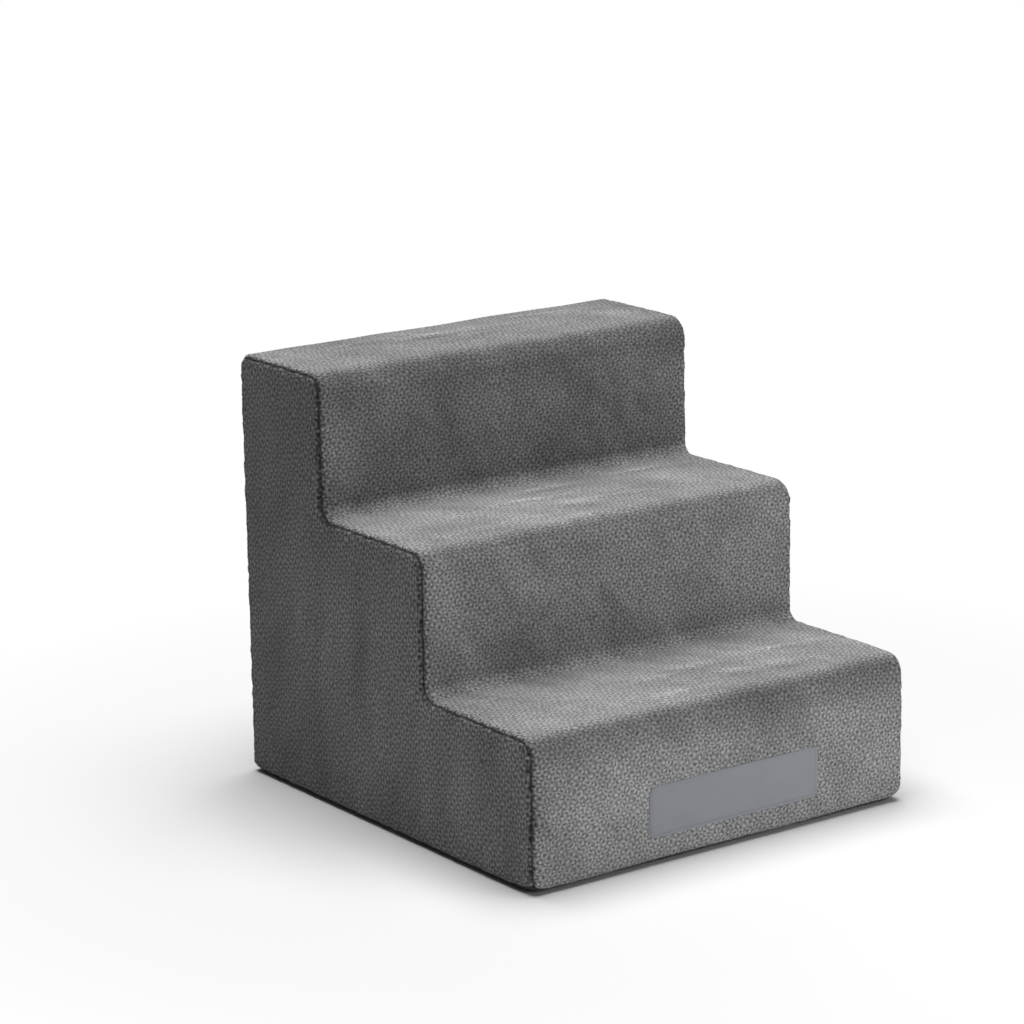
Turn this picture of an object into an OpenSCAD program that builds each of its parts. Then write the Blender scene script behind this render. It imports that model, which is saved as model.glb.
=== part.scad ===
// Three-step foam stairs for dogs: a stacked foam core in a sewn plush cover.
// Millimetres, +Z up. The low step faces -Y and the stairs climb towards +Y.
// The origin is on the floor, at the middle of the whole object's footprint.

/* [Stairs] */
// Width across the stairs, over both side panels
stair_w = 406; // [300:1:600]
// Depth of the lower tread
lower_tread_d = 152; // [120:1:220]
// Depth of the middle tread
middle_tread_d = 152; // [120:1:220]
// Depth of the upper tread
upper_tread_d = 130; // [110:1:260]
// Height of the lower riser
lower_riser_h = 134; // [110:1:180]
// Height of the middle riser
middle_riser_h = 127; // [100:1:180]
// Height of the upper riser
upper_riser_h = 127; // [100:1:180]

/* [Foam] */
// Thickness of the softer foam pad on each tread
pad_t = 25; // [22:1:40]
// Room at each side of the foam for the cover's seam allowances
foam_slack = 2; // [1:0.5:5]

/* [Cover] */
// Thickness of the plush fabric, with its pile
cover_t = 3; // [2:0.5:4]
// Outer radius of the rounded nosing of each tread
nosing_r = 18; // [14:1:26]
// Radius where the cover turns up from a tread to the next riser
crook_r = 12; // [6:1:24]
// Radius of the lower edges and of the top edge at the back
edge_r = 12; // [8:1:16]
// Width of the seam gap that holds the side stitching
seam_w = 0.8; // [0.5:0.1:1.2]

/* [Label] */
// Width of the blank patch on the lower riser
label_w = 184; // [60:1:240]
// Height of the blank patch
label_h = 46; // [20:1:60]
// Distance of the patch's middle from the middle of the stairs
label_x = 10; // [-25:1:25]
// Height of the patch's middle above the floor
label_z = 48; // [42:1:70]
// Thickness of the patch
label_t = 0.8; // [0.5:0.1:1.2]

/* [Zipper] */
// Distance from each side of the stairs to the zipper's upright runs
zip_side = 37; // [30:1:60]
// Distance from the top of the stairs to the zipper's cross run
zip_drop = 52; // [45:1:80]
// Radius of the zipper's two corners
zip_corner_r = 35; // [25:1:50]
// Height above the floor at which the coils start
zip_foot = 24.5; // [18:0.5:40]
// Width of the slot between the border and the flap
slot_w = 14; // [12:0.5:18]
// Length of the pull tab from its hinge
pull_l = 24; // [16:1:26]

/* [Hidden] */
$fn = 64;

riser_h = [lower_riser_h, middle_riser_h, upper_riser_h];
tread_z = [riser_h[0], riser_h[0] + riser_h[1], riser_h[0] + riser_h[1] + riser_h[2]];
stair_h = tread_z[2];
stair_d = lower_tread_d + middle_tread_d + upper_tread_d;

// Zipper sizes, with depths measured outwards from the cover's back face
tape_t = 0.8;
tape_w = 12.5;
tape_gap = 1;
coil_r = 1.2;
coil_off = 1.75;
clear = 0.3;
tape_out = -cover_t - 0.1;
coil_mid = tape_out + coil_r;
coil_out = coil_mid + coil_r;
slider_w = 8.2;
slider_l = 10.6;
plate_t = 1;
flange_t = 0.85;
post_t = 0.5;
post_l = 2.2;
plate_in = coil_out + clear;
plate_out = plate_in + plate_t;
under_plate_out = tape_out - tape_t - clear;
crown_w = 1.8;
crown_l = 6.8;
crown_wall = 0.6;
bar_r = 0.6;
bore_r = 0.7;
hinge_out = plate_out + 0.2 + bore_r;
crown_out = hinge_out + bore_r + crown_wall;
pull_t = 2 * bar_r;
pull_w = 6.4;
pull_arm_w = 1.2;
pull_bar_l = 5.8;
pull_window = 4.6;
pull_hole_r = 1.6;
stop_h = 4;

// The slider's crown stands proud of the back, so the body sits half that much forward
back_y = (stair_d - crown_out) / 2;
riser_y = [back_y - stair_d, back_y - stair_d + lower_tread_d, back_y - upper_tread_d];
front_y = riser_y[0];

// The foam stops short of the back, to leave room for the zipper's underside
foam_back_y = back_y - cover_t - 3;
inner_w = stair_w - 2 * cover_t;
foam_w = inner_w - 2 * foam_slack;
strip_w = inner_w - 2 * seam_w;
strip_end_z = stair_h - 26;
zip_x = stair_w / 2 - zip_side;
zip_top = stair_h - zip_drop;
slider_z = zip_foot + clear + slider_l / 2;
slot_foot = edge_r + 2;

plush = [0.52, 0.52, 0.53];
plush_dark = [0.40, 0.40, 0.41];

// ---- Helpers ----

// Extrudes a side view, drawn as (depth, height), from x to x + w
module across(x, w) {
  translate([x, 0, 0]) rotate([90, 0, 90]) linear_extrude(w) children();
}

// Extrudes a back view, drawn as (width, height), from y to y + t
module outwards(y, t) {
  translate([0, y + t, 0]) rotate([90, 0, 0]) linear_extrude(t) children();
}

// Rectangle between two corners
module span(x0, y0, x1, y1) {
  translate([x0, y0]) square([x1 - x0, y1 - y0]);
}

// Rectangle between two corners, with all four corners rounded
module rounded_span(x0, y0, x1, y1, r) {
  span(x0 + r, y0, x1 - r, y1);
  span(x0, y0 + r, x1, y1 - r);
  for (x = [x0 + r, x1 - r], y = [y0 + r, y1 - r]) translate([x, y]) circle(r);
}

// Side view of one step: from its riser to the back, with a rounded nosing
module step_block(k, inset) {
  y = riser_y[k] + inset;
  z = tread_z[k] - inset;
  r = nosing_r - inset;
  span(y, 0, back_y, z - r);
  span(y + r, 0, back_y, z);
  translate([y + r, z - r]) circle(r);
}

// The hollow curve of the cover where a tread meets the next riser
module crook(k, inset) {
  y = riser_y[k] + inset;
  z = tread_z[k - 1] - inset;
  r = crook_r + inset;
  difference() {
    span(y - r, z - 1, y + 1, z + r);
    translate([y - r, z + r]) circle(r);
  }
}

// Side view of the stairs, drawn inwards by inset
module stair_profile(inset, crooks = true) {
  intersection() {
    union() {
      for (k = [0:2]) step_block(k, inset);
      if (crooks) for (k = [1:2]) crook(k, inset);
    }
    rounded_span(front_y + inset, inset, back_y - inset, stair_h - inset, edge_r - inset);
  }
}

// Side view of the cover's skin
module skin_profile() {
  difference() {
    stair_profile(0);
    stair_profile(cover_t);
  }
}

// ---- Foam ----

// A slice of the core's side view, from y0 to y1 and from z0 to z1
module foam_slice(y0, y1, z0, z1) {
  across(-foam_w / 2, foam_w) intersection() {
    stair_profile(cover_t, false);
    span(y0, z0, y1, z1);
  }
}

module foam_slab(k) {
  z0 = k == 0 ? 0 : tread_z[k - 1] - cover_t - pad_t;
  foam_slice(riser_y[k] + cover_t, foam_back_y, z0, tread_z[k] - cover_t - pad_t);
}

module tread_pad(k) {
  y1 = k == 2 ? foam_back_y : riser_y[k + 1] + cover_t;
  foam_slice(riser_y[k], y1, tread_z[k] - cover_t - pad_t, tread_z[k]);
}

module foam_base_slab() { color([0.88, 0.86, 0.78]) foam_slab(0); }
module foam_middle_slab() { color([0.84, 0.82, 0.74]) foam_slab(1); }
module foam_top_slab() { color([0.88, 0.86, 0.78]) foam_slab(2); }
module lower_tread_pad() { color([0.93, 0.91, 0.86]) tread_pad(0); }
module middle_tread_pad() { color([0.93, 0.91, 0.86]) tread_pad(1); }
module upper_tread_pad() { color([0.93, 0.91, 0.86]) tread_pad(2); }

// ---- Cover ----

// The strip over every riser and tread, from the lower front edge over the top to the back
module step_panel() {
  color(plush) difference() {
    across(-strip_w / 2, strip_w) difference() {
      skin_profile();
      span(front_y - 1, -1, back_y + 1, cover_t);
      span(back_y - edge_r, 0, back_y + 1, strip_end_z);
    }
    outwards(front_y - 1, 1 + label_t) label_outline();
  }
}

module side_panel(x) {
  color(plush_dark) across(x, cover_t) stair_profile(0);
}

module left_side_panel() { side_panel(-stair_w / 2); }
module right_side_panel() { side_panel(stair_w / 2 - cover_t); }

// The stitching in a side seam, sunk below the surface of the plush
module seam_thread(x) {
  color([0.22, 0.22, 0.23]) across(x, seam_w) difference() {
    stair_profile(0.9);
    stair_profile(1.9);
  }
}

module left_seam_thread() { seam_thread(-inner_w / 2); }
module right_seam_thread() { seam_thread(inner_w / 2 - seam_w); }

module base_panel() {
  color([0.20, 0.20, 0.21]) across(-strip_w / 2, strip_w) intersection() {
    skin_profile();
    span(front_y, 0, back_y, cover_t);
  }
}

module label_outline() {
  rounded_span(label_x - label_w / 2, label_z - label_h / 2,
               label_x + label_w / 2, label_z + label_h / 2, 5);
}

module front_label() {
  color([0.50, 0.52, 0.54]) outwards(front_y, label_t) label_outline();
}

// ---- Back panel and zipper ----

// An arch along the zipper's path, moved outwards by off, filled down to foot
module arch(off, foot) {
  x = zip_x + off;
  z = zip_top + off;
  r = zip_corner_r + off;
  span(-x, foot, x, z - r);
  span(-x + r, foot, x - r, z);
  for (side = [-1, 1]) translate([side * (x - r), z - r]) circle(r);
}

// The part of the skin at the back that a back view covers, rounded under at the floor
module back_skin() {
  intersection() {
    across(-strip_w / 2, strip_w) skin_profile();
    outwards(back_y - edge_r, edge_r) children();
  }
}

module back_border() {
  color(plush) back_skin() difference() {
    span(-strip_w / 2, cover_t, strip_w / 2, strip_end_z);
    arch(slot_w / 2, slot_foot);
    span(-zip_x, 0, zip_x, slot_foot);
  }
}

module back_flap() {
  color(plush) back_skin() {
    arch(-slot_w / 2, slot_foot);
    span(-zip_x, cover_t, zip_x, slot_foot);
  }
}

module zipper_tape(off0, off1) {
  color([0.12, 0.12, 0.13]) outwards(back_y + tape_out - tape_t, tape_t) difference() {
    arch(off1, edge_r + 0.5);
    arch(off0, 0);
  }
}

module zipper_tape_outer() { zipper_tape(tape_gap / 2, tape_gap / 2 + tape_w); }
module zipper_tape_inner() { zipper_tape(-tape_gap / 2 - tape_w, -tape_gap / 2); }

// One coil, along the zipper's path moved outwards by off
module zipper_coil(off) {
  x = zip_x - zip_corner_r;
  z = zip_top - zip_corner_r;
  color([0.16, 0.16, 0.17]) translate([0, back_y + coil_mid, 0]) {
    for (side = [0, 1]) mirror([side, 0, 0]) {
      translate([zip_x + off, 0, zip_foot]) cylinder(r = coil_r, h = z - zip_foot);
      translate([x, 0, z]) rotate([90, 0, 0]) rotate_extrude(angle = 90)
        translate([zip_corner_r + off, 0]) circle(coil_r);
    }
    translate([-x, 0, zip_top + off]) rotate([0, 90, 0]) cylinder(r = coil_r, h = 2 * x);
  }
}

module zipper_coil_outer() { zipper_coil(coil_off); }
module zipper_coil_inner() { zipper_coil(-coil_off); }

// A crimped stop on the tapes, w wide, just under the coils
module crimp(x, w) {
  color([0.55, 0.55, 0.57]) outwards(back_y + tape_out, 2 * coil_r + 0.2)
    rounded_span(x - w / 2, zip_foot - stop_h, x + w / 2, zip_foot, 0.6);
}

module zipper_start_stop() { crimp(zip_x, 2 * (coil_off + coil_r)); }
module zipper_end_stops() { for (side = [-1, 1]) crimp(-zip_x + side * coil_off, 2.2); }

// Back view of the slider's plates: wide at the foot, narrow where the closed coils leave
module plate_outline() {
  w = slider_w / 2;
  l = slider_l / 2;
  translate([-zip_x, slider_z]) {
    polygon([[-w, -l + 2], [-w + 2, -l], [w - 2, -l], [w, -l + 2],
             [w, l - 2.4], [w - 1.1, l], [-w + 1.1, l], [-w, l - 2.4]]);
  }
}

// The bridge over the hinge bar, drawn as (depth, height)
module crown_profile() {
  y = back_y + plate_out;
  top = back_y + crown_out;
  r = 1.2;
  difference() {
    union() {
      span(y - 0.2, slider_z - crown_l / 2, top - r, slider_z + crown_l / 2);
      span(y - 0.2, slider_z - crown_l / 2 + r, top, slider_z + crown_l / 2 - r);
      for (side = [-1, 1])
        translate([top - r, slider_z + side * (crown_l / 2 - r)]) circle(r);
    }
    translate([back_y + hinge_out, slider_z]) circle(bore_r);
  }
}

module zipper_slider() {
  color([0.62, 0.62, 0.64]) {
    outwards(back_y + plate_in, plate_t) plate_outline();
    outwards(back_y + under_plate_out - plate_t, plate_t) plate_outline();
    // Flanges that guide the coils
    for (side = [-1, 1])
      outwards(back_y + tape_out + clear, plate_in - tape_out)
        translate([-zip_x + side * (slider_w - flange_t) / 2, slider_z - slider_l / 2 + 2])
          span(-flange_t / 2, 0, flange_t / 2, slider_l - 4.6);
    // Post between the coils, which joins the two plates
    outwards(back_y + under_plate_out - plate_t / 2, plate_in - under_plate_out + plate_t)
      translate([-zip_x, slider_z - slider_l / 2])
        span(-post_t / 2, 0.4, post_t / 2, 0.4 + post_l);
    across(-zip_x - crown_w / 2, crown_w) crown_profile();
  }
}

module zipper_pull() {
  color([0.66, 0.66, 0.68]) translate([-zip_x, back_y + hinge_out, slider_z]) {
    translate([-pull_bar_l / 2, 0, 0]) rotate([0, 90, 0]) cylinder(r = bar_r, h = pull_bar_l);
    outwards(-pull_t / 2, pull_t) difference() {
      union() {
        for (side = [-1, 1])
          translate([side * (pull_bar_l - pull_arm_w) / 2, 0])
            span(-pull_arm_w / 2, -pull_window - 1, pull_arm_w / 2, 0);
        span(-pull_w / 2, -pull_l + pull_w / 2, pull_w / 2, -pull_window);
        translate([0, -pull_l + pull_w / 2]) circle(pull_w / 2);
      }
      translate([0, -pull_l + pull_w / 2]) circle(pull_hole_r);
    }
  }
}

foam_base_slab();
foam_middle_slab();
foam_top_slab();
lower_tread_pad();
middle_tread_pad();
upper_tread_pad();
step_panel();
left_side_panel();
right_side_panel();
back_border();
back_flap();
base_panel();
left_seam_thread();
right_seam_thread();
front_label();
zipper_tape_outer();
zipper_tape_inner();
zipper_coil_outer();
zipper_coil_inner();
zipper_start_stop();
zipper_end_stops();
zipper_slider();
zipper_pull();
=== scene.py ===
"""Looks of the three-step foam dog stairs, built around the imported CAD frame. Metres, row frame."""
import math

import bpy
import numpy as np
from mathutils import Matrix, Vector
from mathutils.geometry import delaunay_2d_cdt
from mathutils.kdtree import KDTree


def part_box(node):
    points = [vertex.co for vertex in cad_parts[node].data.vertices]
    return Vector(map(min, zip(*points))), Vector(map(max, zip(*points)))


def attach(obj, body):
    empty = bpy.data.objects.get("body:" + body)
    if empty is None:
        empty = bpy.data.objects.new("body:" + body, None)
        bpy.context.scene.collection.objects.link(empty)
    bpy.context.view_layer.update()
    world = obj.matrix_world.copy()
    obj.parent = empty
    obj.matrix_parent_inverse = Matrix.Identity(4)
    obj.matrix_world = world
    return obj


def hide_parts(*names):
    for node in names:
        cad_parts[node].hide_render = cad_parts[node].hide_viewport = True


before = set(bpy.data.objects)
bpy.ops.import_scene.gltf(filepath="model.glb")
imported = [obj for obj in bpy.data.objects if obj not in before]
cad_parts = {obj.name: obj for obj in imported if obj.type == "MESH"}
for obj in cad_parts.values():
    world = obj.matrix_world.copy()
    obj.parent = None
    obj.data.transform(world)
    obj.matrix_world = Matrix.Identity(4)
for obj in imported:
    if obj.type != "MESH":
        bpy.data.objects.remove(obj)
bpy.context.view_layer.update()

MM = 0.001

# ---- Sizes read from the frame ----
SIDE_LOW, SIDE_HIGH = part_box("left_side_panel")
HALF_W = -SIDE_LOW.x
FRONT_Y, BACK_Y, TOP_Z = SIDE_LOW.y, SIDE_HIGH.y, SIDE_HIGH.z
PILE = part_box("base_panel")[1].z
PADS = ("lower_tread_pad", "middle_tread_pad", "upper_tread_pad")
RISER_Y = [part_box(pad)[0].y - PILE for pad in PADS]
TREAD_Z = [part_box(pad)[1].z + PILE for pad in PADS]
STRIP_END_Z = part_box("back_border")[1].z
COIL_LOW, COIL_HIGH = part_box("zipper_coil_outer")
INNER_COIL_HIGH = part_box("zipper_coil_inner")[1]
COIL_Y = (COIL_LOW.y + COIL_HIGH.y) / 2
COIL_R = (COIL_HIGH.y - COIL_LOW.y) / 2
COIL_OFF = (COIL_HIGH.x - INNER_COIL_HIGH.x) / 2
ZIP_X = COIL_HIGH.x - COIL_R - COIL_OFF
ZIP_TOP = COIL_HIGH.z - COIL_R - COIL_OFF
ZIP_FOOT = COIL_LOW.z
SLOT_HALF = ZIP_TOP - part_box("back_flap")[1].z
TAPE_LOW, TAPE_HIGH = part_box("zipper_tape_outer")

# ---- Sizes of the cover's soft shapes ----
# Radii of the side outline: over the nosings, under them at the next tread, and at the other corners
NOSING_R = 18 * MM
CROOK_R = 12 * MM
EDGE_R = 12 * MM
BASE_SEAM_TURN = math.acos(1 - PILE / EDGE_R)
# The rolled edge between the strip and a side, and how far its lowest part is drawn in
ROLL_R = 7 * MM
FOOT_R = 8 * MM
FRONT_FOOT_R = 12 * MM
FRONT_FOOT_START = 5 * MM
FRONT_FOOT_REACH = 14 * MM
# Seams, with the depth to which a raw edge is turned in
SEAM_DEPTH = 2.0 * MM
SEAM_SPREAD = 1.5 * MM
TUCK = 3 * MM
STITCH_PITCH = 4.4 * MM
STITCH_SHARE = 0.62
# Spacing of the covers' mesh lines
GRAIN = 1.3 * MM
# The pile: direction and length of the waves that make its tufts, and cell and reach of their shake
PILE_WAVES = [(math.radians(angle), length * MM)
              for angle, length in ((5, 3.4), (41, 4.3), (77, 3.7), (113, 4.6), (149, 4.0))]
PILE_SHAKES = ((9.5 * MM, 1.7 * MM), (4.2 * MM, 0.75 * MM))
NUB_HEIGHT = 0.32 * MM
SIDE_PILE = 0.88
# How much stronger the tufts' painted light and shade are drawn near a seam
SEAM_TUFT_PAINTED_LIGHT = 1.3
# The folds on each tread: how many, and how many of them lie towards the right
FOLDS = 11
RIGHT_FOLDS = 7
FOLD_HEIGHT = 0.9 * MM
# The zipper's slot, its rolled hem and its coils
ZIP_CORNER_R = 35 * MM
SLOT_FOOT = 14 * MM
HEM_R = 2.6 * MM
HEM_STITCH = 5 * MM
COIL_PITCH = 1.45 * MM
COIL_WIRE = 0.33 * MM
COIL_WIDE = 1.08 * MM
# The patch
LABEL_CORNER = 7 * MM
LABEL_BORDER = 2.4 * MM
LABEL_EDGE = 1.2 * MM
# The foam's rounded edges
SLAB_R = 7 * MM
PAD_R = 9 * MM

# ---- Studio sizes ----
CAMERA_AIM = Vector((-0.0238, 0.0515, 0.2459))
CAMERA_TURN = math.radians(-35.56)
CAMERA_RISE = math.radians(14.22)
CAMERA_ROLL = math.radians(-0.97)
CAMERA_GAP = 3.303
CAMERA_LENS = 130.6
FLOOR_NEAR = 0.30
FLOOR_FAR = 0.72
FLOOR_HALF = 8


# ---- Noise ----

def scatter(ix, iy, seed):
    """A repeatable random number from 0 to 1 for each pair of whole numbers."""
    mask = np.uint64(0xFFFFFFFF)
    n = (ix.astype(np.int64).astype(np.uint64) * np.uint64(374761393)
         + iy.astype(np.int64).astype(np.uint64) * np.uint64(668265263)
         + np.uint64(seed * 974711 + 17)) & mask
    n = ((n ^ (n >> np.uint64(13))) * np.uint64(1274126177)) & mask
    n = ((n ^ (n >> np.uint64(16))) * np.uint64(2246822519)) & mask
    return (n ^ (n >> np.uint64(15))).astype(float) / 0xFFFFFFFF


def soft_noise(u, v, seed):
    """Smooth noise from -1 to 1, one bump to each unit."""
    iu, iv = np.floor(u), np.floor(v)
    fu, fv = u - iu, v - iv
    fu, fv = fu * fu * (3 - 2 * fu), fv * fv * (3 - 2 * fv)
    low = scatter(iu, iv, seed) * (1 - fu) + scatter(iu + 1, iv, seed) * fu
    high = scatter(iu, iv + 1, seed) * (1 - fu) + scatter(iu + 1, iv + 1, seed) * fu
    return 2 * (low * (1 - fv) + high * fv) - 1


def shaken(u, v, seed):
    """Coordinates along the cloth, shaken so that the tufts don't stand in rows."""
    shift_u, shift_v = 0, 0
    for i, (cell, shake) in enumerate(PILE_SHAKES):
        shift_u = shift_u + shake * soft_noise(u / cell, v / cell, seed + 2 * i)
        shift_v = shift_v + shake * soft_noise(u / cell, v / cell, seed + 2 * i + 1)
    return u + shift_u, v + shift_v


def tufts(u, v):
    """Height of the nubby pile from 0 to 1, in the same pattern as the plush material's."""
    waves = [np.cos((u * math.cos(angle) + v * math.sin(angle)) * 2 * math.pi / length)
             for angle, length in PILE_WAVES]
    return np.clip(sum(waves) / 6 + 0.5, 0, 1)


# ---- The side outline, read by arc length ----

def reaches(points):
    """How far along a line through points each of them lies."""
    return np.concatenate([[0], np.cumsum(np.linalg.norm(np.diff(points, axis=0), axis=1))])


class Outline:
    """The closed side view of the stairs, rounded at its corners. It runs up the front, over the steps,
    down the back and forward along the floor, and starts where the front lower edge begins to turn."""

    def __init__(self, corners, fine=0.25 * MM):
        spots = [np.array(corner[:2]) for corner in corners]
        radii = [corner[2] for corner in corners]
        count = len(corners)
        places, normals, turns = [], [], []
        for i, (spot, radius) in enumerate(zip(spots, radii)):
            after, after_r = spots[(i + 1) % count], radii[(i + 1) % count]
            come = (spot - spots[i - 1]) / np.linalg.norm(spot - spots[i - 1])
            go = (after - spot) / np.linalg.norm(after - spot)
            centre = spot + (go - come) * radius
            turns.append(len(places))
            for angle in np.linspace(0, math.pi / 2, int(radius * 1.6 / fine) + 2):
                places.append(centre - go * radius * math.cos(angle) + come * radius * math.sin(angle))
                ahead = come * math.cos(angle) + go * math.sin(angle)
                normals.append((-ahead[1], ahead[0]))
            turns.append(len(places) - 1)
            start, end = spot + go * radius, after - go * after_r
            steps = int(np.linalg.norm(end - start) / fine) + 2
            for share in np.linspace(0, 1, steps)[1:-1]:
                places.append(start + (end - start) * share)
                normals.append((-go[1], go[0]))
        self.places = np.array(places + places[:1])
        self.normals = np.array(normals + normals[:1])
        self.reach = reaches(self.places)
        self.length = self.reach[-1]
        marks = self.reach[turns]
        self.turns = list(zip(marks[0::2], marks[1::2]))
        self.mids = [(first + last) / 2 for first, last in self.turns]

    def at(self, s):
        """Place (y, z) and outward normal (y, z) at arc length s."""
        s = np.mod(s, self.length)
        read = [np.interp(s, self.reach, column) for column in (*self.places.T, *self.normals.T)]
        size = np.hypot(read[2], read[3])
        return read[0], read[1], read[2] / size, read[3] / size


outline = Outline([
    (FRONT_Y, 0, EDGE_R), (FRONT_Y, TREAD_Z[0], NOSING_R),
    (RISER_Y[1], TREAD_Z[0], CROOK_R), (RISER_Y[1], TREAD_Z[1], NOSING_R),
    (RISER_Y[2], TREAD_Z[1], CROOK_R), (RISER_Y[2], TREAD_Z[2], NOSING_R),
    (BACK_Y, TREAD_Z[2], EDGE_R), (BACK_Y, 0, EDGE_R),
])

# Arc lengths of the cross seams: base to strip, strip to back, back to base
S_FRONT = EDGE_R * BASE_SEAM_TURN
S_BACK = outline.turns[6][1] + (TOP_Z - EDGE_R - STRIP_END_Z)
S_UNDER = outline.turns[7][1] - EDGE_R * BASE_SEAM_TURN
S_ROUND = outline.length + S_FRONT
CROSS_SEAMS = (S_FRONT, S_BACK, S_UNDER, S_ROUND)

FLAT_HALF = HALF_W - ROLL_R
W_SEAM = FLAT_HALF + ROLL_R * math.pi / 4
W_SIDE = FLAT_HALF + ROLL_R * math.pi / 2

# How far each run between two corners bulges, from the front riser round to the base
CROWNS = [c * MM for c in (1.6, 2.4, 1.6, 2.4, 1.6, 2.4, 2.0, 0)]
# Painted light and shade on each of the same runs: how much brighter or darker the pile is drawn there; and
# painted light that fades from the floor up to the top
RUN_PAINTED_LIGHT = (0.93, 1, 0.97, 1.08, 0.79, 1.03, 0.97, 1)
FLOOR_PAINTED_LIGHT = 1.15
TOP_PAINTED_LIGHT = 0.89
# Painted shade over a nosing: the corner's number, the painted shade at the turn, and the painted shade on
# the riser below it
NOSING_PAINTED_SHADES = ((1, 0.45, 0.25), (3, 0.40, 0), (5, 0.40, 0.05))
TURN_SPREAD = 8.5 * MM
BELOW_TURN = 14 * MM

LABEL_LOW, LABEL_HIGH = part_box("front_label")
LABEL_MID = (LABEL_LOW + LABEL_HIGH) / 2
LABEL_HALF = (LABEL_HIGH - LABEL_LOW) / 2
LABEL_S = outline.turns[0][1] + LABEL_MID.z - EDGE_R


def cover_point(s, w, h):
    """Point on the cover: s along the side outline, w across it and over the rounded edges, h outwards."""
    angle = np.maximum(np.abs(w) - FLAT_HALF, 0) / ROLL_R
    reach = ROLL_R + h
    y, z, ny, nz = outline.at(s)
    out = reach * np.cos(angle) - ROLL_R
    x = np.sign(w) * (np.minimum(np.abs(w), FLAT_HALF) + reach * np.sin(angle))
    return foot_rounded(np.stack([x, y + ny * out, z + nz * out], axis=-1))


def foot_rounded(points):
    """Draws in the lower edge of each side, which is roundest at the front."""
    x, z = np.abs(points[..., 0]), points[..., 2]
    behind = np.maximum(points[..., 1] - FRONT_Y - FRONT_FOOT_START, 0)
    radius = FOOT_R + FRONT_FOOT_R * np.exp(-behind / FRONT_FOOT_REACH)
    a = np.clip((x - HALF_W + radius) / radius, 0, 1)
    b = np.clip((radius - z) / radius, 0, 1)
    x = x - radius * a * (1 - np.sqrt(1 - b * b / 2))
    z = z + radius * b * (1 - np.sqrt(1 - a * a / 2))
    return np.stack([np.sign(points[..., 0]) * x, points[..., 1], z], axis=-1)


# ---- Relief of the cover ----

def near(gap, spread):
    """A soft bell: 1 at no gap, falling off over spread."""
    return np.exp(-(gap / spread) ** 2)


def fade(gap, spread):
    """Falls off from 1 over spread."""
    return np.exp(-np.abs(gap) / spread)


def crown(s, w):
    """The soft bulge of each tread and riser between its corners."""
    total = np.zeros(np.shape(s))
    mids = outline.mids + [outline.mids[0] + outline.length]
    for height, first, last in zip(CROWNS, mids, mids[1:]):
        share = np.clip((s - first) / (last - first), 0, 1)
        total += height * np.sin(math.pi * share) ** 2
    return total * np.clip(1 - (np.abs(w) / W_SEAM) ** 5, 0, 1)


def run_painted_light(s):
    """Painted light and shade of the run at an arc length, blended round each corner."""
    firsts = [last for _, last in outline.turns]
    lasts = [first for first, _ in outline.turns[1:]] + [outline.length]
    return np.interp(s, np.stack([firsts, lasts], axis=-1).ravel(), np.repeat(RUN_PAINTED_LIGHT, 2))


def wrinkles(s, w):
    """Long soft folds across the treads, most of them towards the right-hand side. 1 is a full fold."""
    rng = np.random.default_rng(11)
    total = np.zeros(np.shape(s))
    for corner in (1, 3, 5):
        first, last = outline.turns[corner][1], outline.turns[corner + 1][0]
        for i in range(FOLDS):
            along = rng.uniform(-0.04, 0.165) if i < RIGHT_FOLDS else rng.uniform(-0.17, 0.0)
            back = first + (last - first) * rng.uniform(0.02, 0.95)
            length, width = rng.uniform(14, 38) * MM, rng.uniform(3.6, 7.5) * MM
            height, tilt = rng.uniform(0.4, 1.0), rng.uniform(-0.16, 0.04)
            strength = height * (1 if i < RIGHT_FOLDS else 0.45)
            off = s - back - tilt * (w - along) + 3.5 * MM * soft_noise(w / 0.017, s / 0.04, 200 + i)
            across = near(off, width) - 0.6 * near(off + 1.7 * width, width)
            total += strength * near(w - along, length) * across
    return total


def sags(s, w, seed):
    """Broad unevenness of a cover that isn't quite tight."""
    return (0.6 * MM * soft_noise(s / 0.062, w / 0.075, seed)
            + 0.25 * MM * soft_noise(s / 0.021, w / 0.03, seed + 5))


def gathers(along, gap, seed):
    """Small puckers where the stitching draws a seam in; along runs with the seam and gap away from it."""
    shift = 3 * MM * soft_noise(along / 0.016, gap / 0.02, seed + 1)
    coarse = soft_noise((along + shift) / 0.0062, gap / 0.02, seed) * 0.6 * MM * fade(gap, 7 * MM)
    fine = np.cos(along * 2 * math.pi / STITCH_PITCH) * 0.25 * MM * fade(gap, 2.6 * MM)
    return coarse + fine


def nap_of(u, v, seed):
    """Patches where the pile is brushed one way or the other, from about -1 to 1."""
    slant = v + 0.5 * u
    broad = soft_noise(u / 0.055, slant / 0.040, seed)
    small = soft_noise(u / 0.024, slant / 0.016, seed + 3)
    return 0.6 * broad + 0.45 * small


def label_cover(s, w, spread=0.5 * MM):
    """1 where the patch lies on the lower riser, 0 clear of it."""
    over = np.maximum(np.abs(w - LABEL_MID.x) - LABEL_HALF.x, np.abs(s - LABEL_S) - LABEL_HALF.z)
    return 1 / (1 + np.exp(np.clip(over / spread, -30, 30)))


def seam_painted_shade(gap):
    """Painted shade down in a seam: how much darker the pile is drawn there."""
    return 1 - 0.62 * near(gap, 1.7 * MM) - 0.12 * near(gap - 3 * MM, 3 * MM)


def smooth_relief(s, w):
    """Height of the cover's sheet without its pile or seams."""
    edge = np.clip((W_SEAM - np.abs(w)) / 0.02, 0, 1)
    return crown(s, w) + FOLD_HEIGHT * wrinkles(s, w) + sags(s, w, 3) * edge


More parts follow.
